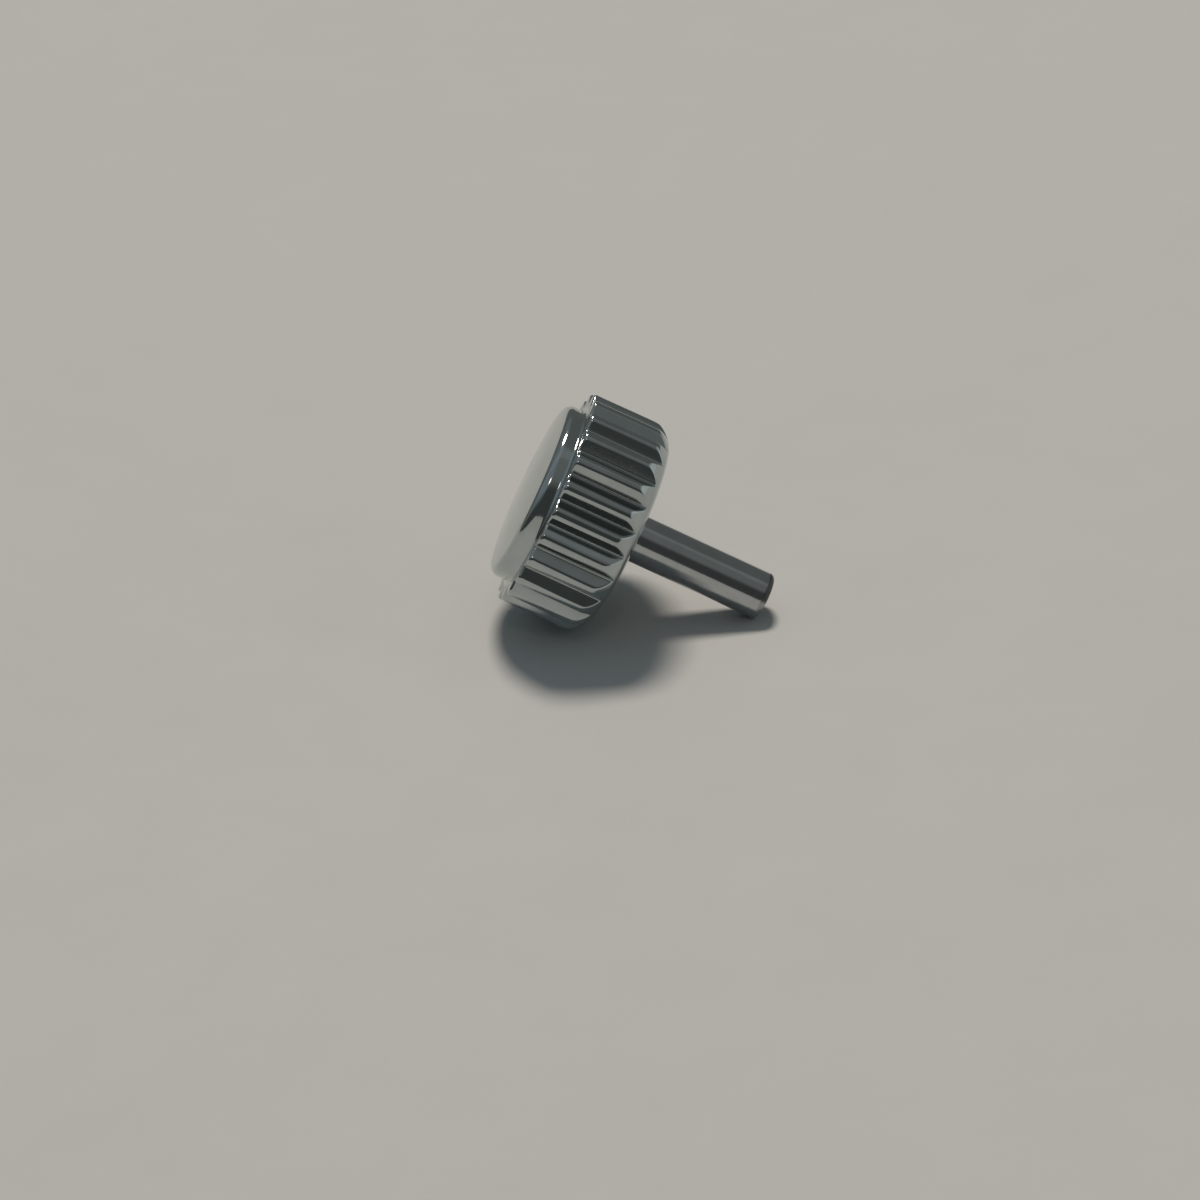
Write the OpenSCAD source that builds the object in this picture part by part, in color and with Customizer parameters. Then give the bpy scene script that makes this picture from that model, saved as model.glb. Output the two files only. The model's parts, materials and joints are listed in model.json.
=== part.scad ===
// Screw-down watch crown with a sprung post, lying on two of its crests and on the tip of its post.
// Each piece is drawn on the crown's own axis: the back face of the cap is at zero, the post
// points along +Z and the domed face looks along -Z. laid_down() then puts it on the surface.

/* [Crown cap] */
// Diameter of the cap over its flutes
crown_d = 7.0; // [6.6:0.1:8.4]
// Height of the fluted rim, from the back face to the front shoulder
rim_h = 2.8; // [2.6:0.05:3.4]
// Rounding between the fluted rim and its front shoulder
rim_round = 0.12; // [0.05:0.01:0.2]
// Number of flutes round the rim
flute_count = 24; // [20:1:26]
// Depth of a flute below the rim
flute_depth = 0.34; // [0.24:0.01:0.38]
// Radius of the crest between two flutes
crest_round = 0.23; // [0.15:0.01:0.25]
// Height of the crowned bevel at the back of the rim
bevel_h = 0.65; // [0.4:0.05:0.8]
// Width of that bevel, across the back face
bevel_w = 0.72; // [0.5:0.02:0.76]
// Radius that the bevel is crowned to
bevel_r = 1.0; // [0.9:0.05:1.5]
// Diameter of the raised boss on the front
boss_d = 5.7; // [5.0:0.1:5.8]
// Height of the boss above the front shoulder
boss_h = 0.6; // [0.5:0.05:0.9]
// Rounding at the front edge of the boss
boss_round = 0.25; // [0.1:0.01:0.35]
// Radius of the cove at the foot of the boss
cove_r = 0.1; // [0.05:0.01:0.14]
// Rise of the domed face above the edge of the boss
dome_h = 0.12; // [0.05:0.01:0.3]

/* [Threaded core] */
// Inside diameter of the thread that takes the case tube
thread_d = 4.4; // [4.3:0.05:4.5]
// Wall of the core outside that thread
skirt_wall = 0.4; // [0.3:0.05:0.45]
// Length of the thread, from the core's mouth to the gasket washer
thread_length = 1.07; // [0.9:0.01:1.2]
// Thickness of the core's floor
floor_t = 0.4; // [0.3:0.05:0.5]
// Depth of the core's mouth below the back face of the cap
mouth_depth = 0.1; // [0.05:0.01:0.15]
// Wall of the hub round the clutch chamber
hub_wall = 0.35; // [0.3:0.01:0.36]
// Chamfer at the mouths of the cap, the thread and the hub
lead_in = 0.08; // [0.04:0.01:0.1]

/* [Post and clutch] */
// Diameter of the post
post_d = 1.5; // [1.4:0.05:1.6]
// Reach of the post beyond the back face of the cap
post_reach = 4.7; // [3.5:0.1:6.0]
// Rounding at the tip of the post
tip_round = 0.2; // [0.1:0.01:0.25]
// Diameter of the tapped hole in the post, at the crests of its thread
tap_d = 0.72; // [0.6:0.02:0.9]
// Depth of the tapped hole
tap_depth = 3.4; // [2.0:0.1:3.4]
// Width across the flats of the hexagonal clutch
hex_width = 2.0; // [1.9:0.02:2.04]
// Length of the clutch along the post
hex_h = 0.7; // [0.5:0.05:0.75]
// Travel of the post into the crown
travel = 0.9; // [0.7:0.05:0.95]
// Running clearance on each side of a sliding piece
slide_gap = 0.02; // [0.01:0.005:0.03]

/* [Retaining ring] */
// Thickness of the ring that holds the post in
ring_t = 0.4; // [0.3:0.05:0.45]
// Width of the hub's seat for the ring, beyond the corners of the clutch
ring_seat = 0.14; // [0.1:0.01:0.16]

/* [Spring] */
// Diameter of the spring's wire
wire_d = 0.12; // [0.08:0.01:0.12]
// Number of turns in the spring
spring_turns = 4; // [3:0.5:4]
// Thickness of the washer between the spring and the clutch
thrust_t = 0.1; // [0.08:0.01:0.12]

/* [Seals] */
// Thickness of the flat gasket that the case tube presses on
gasket_t = 0.35; // [0.25:0.05:0.4]
// Thickness of the washer that covers the gasket
gasket_washer_t = 0.08; // [0.05:0.01:0.12]
// Diameter of the section of the O-ring round the hub
oring_d = 0.26; // [0.2:0.02:0.3]
// Share of the O-ring's section that stands above the hub
oring_proud = 0.4; // [0.3:0.05:0.5]

/* [Hidden] */
$fn = 96;

// Parts of a length that a cut runs past a face
past = 0.5;
// Gap left where two pieces of different bodies meet face to face
face_gap = 0.01;

// Cap
crown_r = crown_d / 2;
boss_r = boss_d / 2;
face_z = -(rim_h + boss_h);
dome_edge_r = boss_r - boss_round;
dome_r = (dome_edge_r * dome_edge_r + dome_h * dome_h) / (2 * dome_h);
// Centre of the bevel's arc, as [radius, height]
bevel_chord = norm([bevel_w, bevel_h]);
bevel_sink = sqrt(bevel_r * bevel_r - bevel_chord * bevel_chord / 4);
bevel_c = [
    crown_r - bevel_w / 2 - bevel_sink * bevel_h / bevel_chord,
    -bevel_h / 2 - bevel_sink * bevel_w / bevel_chord
];

// Flutes: the flank is the line from the bottom of the flute that touches the crest's circle
half_pitch = 180 / flute_count;
crest_c = crown_r - crest_round;
valley_r = crown_r - flute_depth;
valley_from_crest = [valley_r * cos(half_pitch) - crest_c, valley_r * sin(half_pitch)];
flank_side = acos(crest_round / norm(valley_from_crest));
flank_turn = atan2(valley_from_crest[1], valley_from_crest[0]) - flank_side;

// Core, from its mouth inwards
thread_r = thread_d / 2;
core_r = thread_r + skirt_wall;
mouth_z = -mouth_depth;
washer_z = mouth_z - thread_length;
gasket_z = washer_z - gasket_washer_t;
floor_z = gasket_z - gasket_t;
core_top_z = floor_z - floor_t;

// Clutch, from the retaining ring inwards
post_r = post_d / 2;
tip_c = [post_r - tip_round, post_reach - tip_round];
hex_corner_r = hex_width / sqrt(3);
chamber_gap = 0.045;
chamber_r = hex_corner_r + chamber_gap;
hub_r = chamber_r + hub_wall;
ring_r = hex_corner_r + ring_seat;
ring_z = mouth_z - ring_t;
// The clutch is clear of its socket just before the end of the travel
release = 0.05;
socket_top_z = ring_z - (travel - release);
hex_z = ring_z - face_gap;
hex_top_z = hex_z - hex_h;
thrust_z = hex_top_z - thrust_t;
// The spring's turns lie this far apart when the post is all the way in
solid_gap = 0.01;
solid_h = (spring_turns + 1) * (wire_d + solid_gap);
pocket_z = thrust_z - travel - solid_h;
// Room above the washer when the post is all the way in
end_gap = 0.05;
chamber_top_z = thrust_z - travel - end_gap;
// The washer and the spring fit through the hexagon of the socket
thrust_r = hex_width / 2 - 2 * slide_gap;

// Pilot that centres the spring on the clutch
pilot_r = 0.6;
pilot_h = thrust_t + 0.3;

// Spring, and the round pocket that centres it
coil_r = thrust_r - wire_d / 2 - 0.02;
pocket_gap = 0.08;
pocket_r = coil_r + wire_d / 2 + pocket_gap;
end_turns = 0.75;
end_pitch = wire_d + 0.035;
spring_h = thrust_z - pocket_z - 2 * face_gap;
coil_rise = spring_h - wire_d;
pitch = (coil_rise - 2 * end_turns * end_pitch) / (spring_turns - 2 * end_turns);
rings_per_turn = 24;
wire_sides = 8;

// Seals
oring_r = oring_d / 2;
oring_c = hub_r + oring_d * oring_proud - oring_r;
oring_z = (washer_z + mouth_z) / 2 - 0.2;
groove_w = oring_d + 0.04;
seal_gap = 0.02;

// Lying pose: the crown rests on the crests beside its lowest flute, and on the rounding of the tip.
// Bearing of the edge of such a crest, where it meets the bevel at this tilt
function crest_edge(lean) =
    let (
        r = bevel_c[0] + bevel_r * cos(lean),
        share = (r * r + crest_c * crest_c - crest_round * crest_round) / (2 * r * crest_c)
    )
    half_pitch - acos(min(share, 1));

// Reach of the bevel's arc in the direction of the surface, at a bearing with this cosine
function arc_reach(lean, share) = bevel_r * norm([share * cos(lean), sin(lean)]);

// Tilt at which a line touches the bevel at that bearing and the rounding of the tip
function tilt_on(reach, share) =
    let (
        along = tip_c[1] - bevel_c[1],
        across = share * bevel_c[0] - tip_c[0]
    )
    atan(across / along) + asin((reach - tip_round) / norm([along, across]));

// The edge's bearing depends a little on the tilt, so both are worked out in two steps
first_tilt = tilt_on(bevel_r, 1);
first_share = cos(crest_edge(first_tilt));
next_tilt = tilt_on(arc_reach(first_tilt, first_share), first_share);
rest_share = cos(crest_edge(next_tilt));
tilt = tilt_on(arc_reach(next_tilt, rest_share), rest_share);
lift = arc_reach(tilt, rest_share) + rest_share * bevel_c[0] * cos(tilt) + bevel_c[1] * sin(tilt);
boss_x = (face_z + boss_round) * cos(tilt) - dome_edge_r * sin(tilt) - boss_round;
rim_x = (rim_round - rim_h) * cos(tilt) - (crown_r - rim_round) * sin(tilt) - rim_round;
tip_x = tip_c[1] * cos(tilt) + tip_c[0] * sin(tilt) + tip_round;
shift_x = -(min(boss_x, rim_x) + tip_x) / 2;

// Lays a piece down so that two crests and the tip of the post touch z = 0
module laid_down() {
    translate([shift_x, 0, lift])
        rotate([0, 90 + tilt, 0])
            children();
}

// A ring about the axis, between two heights
module ring(inner_r, outer_r, low, high) {
    translate([0, 0, low])
        difference() {
            cylinder(r = outer_r, h = high - low);
            translate([0, 0, -past])
                cylinder(r = inner_r, h = high - low + 2 * past);
        }
}

// A round hole about the axis, between two heights
module hole(radius, low, high) {
    translate([0, 0, low])
        cylinder(r = radius, h = high - low);
}

// A chamfer that opens a hole towards +Z, at the height of its mouth
module mouth_chamfer(radius, mouth, chamfer) {
    translate([0, 0, mouth - chamfer])
        cylinder(r1 = radius, r2 = radius + 2 * chamfer, h = 2 * chamfer);
}

// Half outline of the rim, as radius across and height up
module rim_outline() {
    translate([0, -rim_h])
        square([crown_r - rim_round, rim_h - bevel_h]);
    translate([0, rim_round - rim_h])
        square([crown_r, rim_h - bevel_h - rim_round]);
    translate([crown_r - rim_round, rim_round - rim_h])
        circle(r = rim_round);
    intersection() {
        translate([0, -bevel_h])
            square([crown_r, bevel_h]);
        union() {
            translate([0, -bevel_h])
                square([bevel_c[0], bevel_h]);
            translate(bevel_c)
                circle(r = bevel_r);
        }
    }
}

// Half outline of the boss, its cove and its domed face
module boss_outline() {
    translate([0, face_z])
        square([dome_edge_r, boss_h]);
    translate([0, face_z + boss_round])
        square([boss_r, boss_h - boss_round]);
    translate([dome_edge_r, face_z + boss_round])
        circle(r = boss_round);
    difference() {
        translate([boss_r - cove_r, -rim_h - cove_r])
            square([2 * cove_r, 2 * cove_r]);
        translate([boss_r + cove_r, -rim_h - cove_r])
            circle(r = cove_r);
    }
    intersection() {
        translate([0, face_z - dome_h])
            square([dome_edge_r, dome_h]);
        translate([0, face_z - dome_h + dome_r])
            circle(r = dome_r);
    }
}

// Section of one crest, with flanks that run on below the bottoms of the flutes beside it
module crest_section() {
    touch = crest_round * [cos(flank_turn), sin(flank_turn)];
    foot = touch + 2 * flute_depth * [-sin(flank_turn), cos(flank_turn)];
    translate([crest_c, 0]) {
        circle(r = crest_round);
        polygon([touch, foot, [foot[0], -foot[1]], [touch[0], -touch[1]]]);
    }
}

// Section of the fluted rim, with a flute at bearing 0
module fluted_section() {
    circle(r = valley_r - flute_depth / 8);
    for (i = [0 : flute_count - 1])
        rotate(2 * half_pitch * (i + 0.5))
            crest_section();
}

module crown_cap() {
    color([0.62, 0.64, 0.64])
        laid_down()
            difference() {
                intersection() {
                    // The turned faces start on the upper side, away from the crests that the crown rests on
                    rotate([0, 0, 180])
                        rotate_extrude() {
                            rim_outline();
                            boss_outline();
                        }
                    translate([0, 0, face_z - dome_h - past])
                        linear_extrude(-face_z + dome_h + 2 * past)
                            fluted_section();
                }
                hole(core_r, core_top_z, past);
                hole(chamber_r, chamber_top_z, 0);
                hole(pocket_r, pocket_z, 0);
                mouth_chamfer(core_r, 0, lead_in);
            }
}

// One piece: a skirt with the thread, a floor, and a hub that the clutch slides in
module threaded_core() {
    color([0.66, 0.65, 0.62])
        laid_down()
            difference() {
                translate([0, 0, core_top_z])
                    cylinder(r = core_r, h = mouth_z - core_top_z);
                difference() {
                    hole(thread_r, floor_z, past);
                    hole(hub_r, floor_z - past, 2 * past);
                }
                hub_bore();
                hub_groove();
                mouth_chamfer(thread_r, mouth_z, lead_in);
                hub_chamfer();
            }
}

module hub_bore() {
    hole(chamber_r, core_top_z - past, socket_top_z);
    translate([0, 0, socket_top_z - past])
        cylinder(r = hex_corner_r, h = past - face_gap + travel, $fn = 6);
    hole(ring_r, ring_z, past);
}

module hub_groove() {
    ring(oring_c - oring_r, hub_r + past / 2, oring_z - groove_w / 2, oring_z + groove_w / 2);
}

// Bevels the outer edge of the hub's mouth
module hub_chamfer() {
    difference() {
        hole(hub_r + lead_in, mouth_z - lead_in, mouth_z + past);
        translate([0, 0, mouth_z - lead_in])
            cylinder(r1 = hub_r, r2 = hub_r - 2 * lead_in, h = 2 * lead_in);
    }
}

// Post, clutch and pilot in one, with the tapped hole that takes the movement's stem
module stem_post() {
    clutch_r = (hex_width / 2 - slide_gap) * 2 / sqrt(3);
    color([0.58, 0.6, 0.6])
        laid_down()
            difference() {
                union() {
                    rotate_extrude() {
                        translate([0, hex_z])
                            square([post_r, post_reach - tip_round - hex_z]);
                        translate([0, hex_z])
                            square([post_r - tip_round, post_reach - hex_z]);
                        translate(tip_c)
                            circle(r = tip_round);
                    }
                    translate([0, 0, hex_top_z])
                        cylinder(r = clutch_r, h = hex_h, $fn = 6);
                    translate([0, 0, hex_top_z - pilot_h])
                        cylinder(r = pilot_r, h = pilot_h + hex_h / 2);
                }
                hole(tap_d / 2, post_reach - tap_depth, post_reach + past);
                mouth_chamfer(tap_d / 2, post_reach, lead_in);
            }
}

module thrust_washer() {
    color([0.75, 0.62, 0.35])
        laid_down()
            ring(pilot_r + slide_gap, thrust_r, thrust_z, hex_top_z - face_gap);
}

// Height of the wire's centre above the bottom of the spring, after so many turns
function coil_height(turn) =
    turn < end_turns ? turn * end_pitch
    : turn > spring_turns - end_turns ? coil_rise - (spring_turns - turn) * end_pitch
    : end_turns * end_pitch + (turn - end_turns) * pitch;

function coil_point(turn) = [
    coil_r * cos(360 * turn),
    coil_r * sin(360 * turn),
    coil_height(turn)
];

// One ring of points round the wire
function wire_ring(turn) = [
    for (k = [0 : wire_sides - 1])
        let (
            side = 360 * k / wire_sides,
            out = coil_r + wire_d / 2 * cos(side)
        )
        [out * cos(360 * turn), out * sin(360 * turn), coil_height(turn) + wire_d / 2 * sin(side)]
];

module clutch_spring() {
    count = floor(rings_per_turn * spring_turns);
    points = [for (i = [0 : count]) each wire_ring(spring_turns * i / count)];
    sides = [
        for (i = [0 : count - 1], k = [0 : wire_sides - 1])
            let (
                a = i * wire_sides + k,
                b = i * wire_sides + (k + 1) % wire_sides,
                c = a + wire_sides,
                d = b + wire_sides
            )
            each [[a, c, b], [b, c, d]]
    ];
    last = count * wire_sides;
    ends = [
        for (k = [1 : wire_sides - 2])
            each [[0, k, k + 1], [last, last + k + 1, last + k]]
    ];
    echo(least_gap_between_turns = min([
        for (i = [0 : count - rings_per_turn])
            norm(coil_point((i + rings_per_turn) / rings_per_turn) - coil_point(i / rings_per_turn))
    ]) - wire_d);
    color([0.7, 0.7, 0.7])
        laid_down()
            translate([0, 0, pocket_z + face_gap + wire_d / 2])
                polyhedron(points = points, faces = concat(sides, ends));
}

module retaining_ring() {
    color([0.72, 0.71, 0.68])
        laid_down()
            difference() {
                ring(post_r + slide_gap, ring_r, ring_z, mouth_z);
                mouth_chamfer(post_r + slide_gap, mouth_z, lead_in);
            }
}

module tube_gasket() {
    color([0.08, 0.08, 0.08])
        laid_down()
            ring(hub_r + seal_gap, thread_r - seal_gap, floor_z, gasket_z);
}

module gasket_washer() {
    color([0.75, 0.74, 0.72])
        laid_down()
            ring(hub_r + 2 * seal_gap, thread_r - 2 * seal_gap, gasket_z, washer_z);
}

module hub_o_ring() {
    color([0.05, 0.05, 0.05])
        laid_down()
            translate([0, 0, oring_z])
                rotate_extrude()
                    translate([oring_c, 0])
                        circle(r = oring_r);
}

crown_cap();
threaded_core();
stem_post();
thrust_washer();
clutch_spring();
retaining_ring();
tube_gasket();
gasket_washer();
hub_o_ring();
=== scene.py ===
import json
import math

import bmesh
import bpy
import numpy as np
from mathutils import Matrix, Vector


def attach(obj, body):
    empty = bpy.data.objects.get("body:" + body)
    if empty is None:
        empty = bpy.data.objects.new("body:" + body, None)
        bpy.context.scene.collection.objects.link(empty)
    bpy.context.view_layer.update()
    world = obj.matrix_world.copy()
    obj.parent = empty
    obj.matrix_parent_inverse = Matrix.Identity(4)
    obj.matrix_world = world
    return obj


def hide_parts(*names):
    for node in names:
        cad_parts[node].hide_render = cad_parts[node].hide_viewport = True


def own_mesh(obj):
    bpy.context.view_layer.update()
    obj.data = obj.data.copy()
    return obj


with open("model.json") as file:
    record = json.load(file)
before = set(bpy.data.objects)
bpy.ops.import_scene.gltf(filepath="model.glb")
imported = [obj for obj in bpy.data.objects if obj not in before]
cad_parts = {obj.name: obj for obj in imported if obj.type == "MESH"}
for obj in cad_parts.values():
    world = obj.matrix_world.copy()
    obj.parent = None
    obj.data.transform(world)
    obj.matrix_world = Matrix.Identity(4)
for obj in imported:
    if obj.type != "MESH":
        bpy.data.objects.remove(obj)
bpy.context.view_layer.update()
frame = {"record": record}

# Cap: one piece of polished steel, turned to a domed boss, a rim and a crowned bevel. A form cutter then
# mills 24 flutes along the rim, with rounded crests between them, which end as tongues on the bevel.
# It is made upright in millimetres, with its back face at zero and the post along +Z, and then laid down.
MM = 0.001
stem_thread = next(m for m in frame["record"]["mounts"] if m["name"] == "stem_thread")
# The middle of the post's tapped hole lies this far beyond the middle of the back face
STEM_THREAD_HEIGHT = 2.96
AXIS = Vector(stem_thread["axis"])
ACROSS = Vector((0, 1, 0))
BACK_FACE = Vector(stem_thread["pos_m"]) - AXIS * STEM_THREAD_HEIGHT * MM
LYING = Matrix.Translation(BACK_FACE) @ Matrix((ACROSS.cross(AXIS), ACROSS, AXIS)).transposed().to_4x4()

RIM_RADIUS = 3.5
RIM_HEIGHT = 2.8
RIM_ROUND = 0.12
BEVEL_HEIGHT = 0.65
BEVEL_WIDTH = 0.72
BEVEL_RADIUS = 1.0
BOSS_RADIUS = 2.85
BOSS_HEIGHT = 0.6
BOSS_ROUND = 0.25
COVE_RADIUS = 0.1
DOME_HEIGHT = 0.12
FLUTE_COUNT = 24
FLUTE_DEPTH = 0.34
CREST_ROUND = 0.23
VALLEY_ROUND = 0.05
EDGE_ROUND = 0.035
# From this height to the front, the edges of a flute are rounded more and more
MOUTH_START = -1.2
MOUTH_LENGTH = 1.2
MOUTH_ROUND = 0.08
CORE_RADIUS = 2.6
CORE_TOP = -2.0
CHAMBER_RADIUS = 1.2
CHAMBER_TOP = -2.26
POCKET_RADIUS = 1.02
POCKET_TOP = -2.86
LEAD_IN = 0.08
LEAD_IN_EDGE = 0.015
CORNER = 0.03
POCKET_CORNER = 0.06

FACE = -RIM_HEIGHT - BOSS_HEIGHT
HALF_PITCH = math.pi / FLUTE_COUNT
CREST_CENTRE = RIM_RADIUS - CREST_ROUND
# Each flank is the line from the bottom of the flute that touches the crest's circle
FLUTE_BOTTOM = (
    (RIM_RADIUS - FLUTE_DEPTH) * math.cos(HALF_PITCH),
    (RIM_RADIUS - FLUTE_DEPTH) * math.sin(HALF_PITCH),
)
flank_side = math.acos(CREST_ROUND / math.dist(FLUTE_BOTTOM, (CREST_CENTRE, 0)))
FLANK_TURN = math.atan2(FLUTE_BOTTOM[1], FLUTE_BOTTOM[0] - CREST_CENTRE) - flank_side
bevel_chord = math.hypot(BEVEL_WIDTH, BEVEL_HEIGHT)
bevel_sink = math.sqrt(BEVEL_RADIUS ** 2 - bevel_chord ** 2 / 4)
BEVEL_CENTRE = (
    RIM_RADIUS - BEVEL_WIDTH / 2 - bevel_sink * BEVEL_HEIGHT / bevel_chord,
    -BEVEL_HEIGHT / 2 - bevel_sink * BEVEL_WIDTH / bevel_chord,
)
BACK_EDGE = RIM_RADIUS - BEVEL_WIDTH


def arc(centre, radius, start, end, steps):
    """Points of an arc in the section through the axis, as radius and height; angles in degrees."""
    angles = np.radians(np.linspace(start, end, steps + 1))
    return [(centre[0] + radius * math.cos(a), centre[1] + radius * math.sin(a)) for a in angles]


def rounded(corners, steps=4):
    """Points of a section whose corners are (radius, height, rounding), with a curve at each corner.
    The first and last corner stay as they are."""
    points = [corners[0][:2]]
    for before, corner, after in zip(corners, corners[1:], corners[2:]):
        at = np.array(corner[:2], float)
        back = np.array(before[:2], float) - at
        on = np.array(after[:2], float) - at
        reach = corner[2]
        if reach == 0:
            points.append(tuple(at))
            continue
        back *= min(reach, np.linalg.norm(back) / 2) / np.linalg.norm(back)
        on *= min(reach, np.linalg.norm(on) / 2) / np.linalg.norm(on)
        for t in np.linspace(0, 1, steps + 1):
            points.append(tuple(at + back * (1 - t) ** 2 + on * t ** 2))
    return points + [corners[-1][:2]]


def round_cut(a, b, radius):
    """Distance to what two shapes have in common, with the edge between them rounded."""
    inside = np.minimum(np.maximum(a, b), -radius)
    return inside + np.hypot(np.maximum(a + radius, 0), np.maximum(b + radius, 0))


def crest_distance(p, side):
    """Distance to the crest on one side of the flute at bearing 0, whose flanks run on past the bottom."""
    x = p[..., 0] * math.cos(HALF_PITCH) + side * p[..., 1] * math.sin(HALF_PITCH) - CREST_CENTRE
    y = p[..., 0] * math.sin(HALF_PITCH) - side * p[..., 1] * math.cos(HALF_PITCH)
    on_flank = y * math.cos(FLANK_TURN) > x * math.sin(FLANK_TURN)
    flank = x * math.cos(FLANK_TURN) + y * math.sin(FLANK_TURN)
    return np.where(on_flank, flank, np.hypot(x, y)) - CREST_ROUND


def rim_distance(p):
    """Distance from points to the fluted rim's surface, negative in the metal."""
    r = np.hypot(p[..., 0], p[..., 1])
    z = p[..., 2]
    body = round_cut(-RIM_HEIGHT - z, r - RIM_RADIUS, RIM_ROUND)
    bevel = np.hypot(np.maximum(r - BEVEL_CENTRE[0], 0), np.maximum(z - BEVEL_CENTRE[1], 0))
    body = round_cut(body, bevel - BEVEL_RADIUS, EDGE_ROUND)
    body = round_cut(body, z, EDGE_ROUND / 2)
    flute = -round_cut(-crest_distance(p, 1), -crest_distance(p, -1), VALLEY_ROUND)
    near_mouth = np.clip((MOUTH_START - z) / MOUTH_LENGTH, 0, 1)
    return round_cut(body, flute, EDGE_ROUND + (MOUTH_ROUND - EDGE_ROUND) * near_mouth)


def settle(p, rounds=14, step=1e-4, least_slope=0.25):
    """Moves points to the rim's surface, each along the slope of its distance. Between two surfaces
    the slope is small, and its least value keeps a point from leaping away."""
    for _ in range(rounds):
        near = rim_distance(p)
        slope = np.stack([(rim_distance(p + step * e) - rim_distance(p - step * e)) / (2 * step)
                          for e in np.eye(3)], -1)
        p = p - (near / np.maximum((slope ** 2).sum(-1), least_slope))[..., None] * slope
    return p


# Rows and columns of the rim's mesh. They gather where its surface is rounded
FLANK_COLUMNS = (0, 0.06, 0.12, 0.2, 0.35, 0.55, 0.75, 0.9)
FRONT_ROWS = (0.25, 0.5, 0.75, 0.9, 1)
FRONT_EDGE_ROWS = (0.008, 0.03, 0.055, 0.08, 0.11)
WALL_ROWS = (-2.2, -1.8, -1.4, -1.1, -0.9)
CREASE_ROWS = (0.12, 0.06, 0.03, 0.01)
BEVEL_ROWS = (0.01, 0.04, 0.08, 0.14, 0.22, 0.32, 0.42, 0.54, 0.66, 0.78, 0.88, 0.95, 0.985)
BACK_ROWS = (0.01, 0.03, 0.05)
FRONT_WALL_ROWS = (*FRONT_EDGE_ROWS, 0.15, 0.22)
BOSS_WALL_ROWS = (0.12, 0.02)
DOME_ROWS = (0, 0.05, 0.15, 0.3, 0.45, 0.6, 0.75, 0.87, 0.95)


def flute_columns():
    """Bearing and radius of the cut across one flute, from crest to crest."""
    touch = (CREST_CENTRE + CREST_ROUND * math.cos(FLANK_TURN), CREST_ROUND * math.sin(FLANK_TURN))
    half = [tuple(np.array(FLUTE_BOTTOM) * (1 - t) + np.array(touch) * t) for t in FLANK_COLUMNS]
    half += arc((CREST_CENTRE, 0), CREST_ROUND, math.degrees(FLANK_TURN), 0, 6)
    half = [(HALF_PITCH - math.atan2(y, x), math.hypot(x, y)) for x, y in half]
    return [(-bearing, radius) for bearing, radius in half[:0:-1]] + half


def rim_section(cut):
    """Points of the rim in one column, where the flute is cut to this radius."""
    cove_end = BOSS_RADIUS + COVE_RADIUS
    front = cut - FRONT_EDGE_ROWS[-1]
    points = [(cove_end + (front - cove_end) * t, -RIM_HEIGHT) for t in FRONT_ROWS]
    points += [(cut - inset, -RIM_HEIGHT) for inset in FRONT_EDGE_ROWS[-2::-1]]
    points += [(cut, -RIM_HEIGHT + rise) for rise in FRONT_WALL_ROWS]
    start = math.degrees(math.acos((cut - BEVEL_CENTRE[0]) / BEVEL_RADIUS))
    crease = BEVEL_CENTRE[1] + BEVEL_RADIUS * math.sin(math.radians(start))
    points += [(cut, z) for z in WALL_ROWS]
    points += [(cut, crease - gap) for gap in CREASE_ROWS]
    end = math.degrees(math.atan2(-BEVEL_CENTRE[1], BACK_EDGE - BEVEL_CENTRE[0]))
    for share in BEVEL_ROWS:
        points += arc(BEVEL_CENTRE, BEVEL_RADIUS, start + (end - start) * share, start, 0)
    return points + [(BACK_EDGE - inset, 0) for inset in BACK_ROWS[:-1]]


dome_edge = BOSS_RADIUS - BOSS_ROUND
dome_radius = (dome_edge ** 2 + DOME_HEIGHT ** 2) / (2 * DOME_HEIGHT)
boss = []
for t in DOME_ROWS:
    sag = dome_radius - math.sqrt(dome_radius ** 2 - (dome_edge * t) ** 2)
    boss.append((dome_edge * t, FACE - DOME_HEIGHT + sag))
boss += arc((dome_edge, FACE + BOSS_ROUND), BOSS_ROUND, -85, 0, 9)
boss += [(BOSS_RADIUS, -RIM_HEIGHT - COVE_RADIUS - gap) for gap in BOSS_WALL_ROWS]
boss += arc((BOSS_RADIUS + COVE_RADIUS, -RIM_HEIGHT - COVE_RADIUS), COVE_RADIUS, 180, 90, 6)
inside = rounded([
    (BACK_EDGE - BACK_ROWS[-1], 0, 0),
    (CORE_RADIUS + LEAD_IN, 0, LEAD_IN_EDGE),
    (CORE_RADIUS, -LEAD_IN, LEAD_IN_EDGE),
    (CORE_RADIUS, CORE_TOP, CORNER),
    (CHAMBER_RADIUS, CORE_TOP, CORNER),
    (CHAMBER_RADIUS, CHAMBER_TOP, CORNER),
    (POCKET_RADIUS, CHAMBER_TOP, CORNER),
    (POCKET_RADIUS, POCKET_TOP, POCKET_CORNER),
    (0, POCKET_TOP, 0),
])
columns = flute_columns()
sections = [boss + rim_section(cut) + inside for _, cut in columns]
bearings = np.array([bearing for bearing, _ in columns])[:, None]
section_r, section_z = np.moveaxis(np.array(sections), -1, 0)
wedge = np.stack([section_r * np.cos(bearings), section_r * np.sin(bearings), section_z], -1)
rim_rows = slice(len(boss), len(sections[0]) - len(inside))
wedge[:, rim_rows] = settle(wedge[:, rim_rows])


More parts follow.
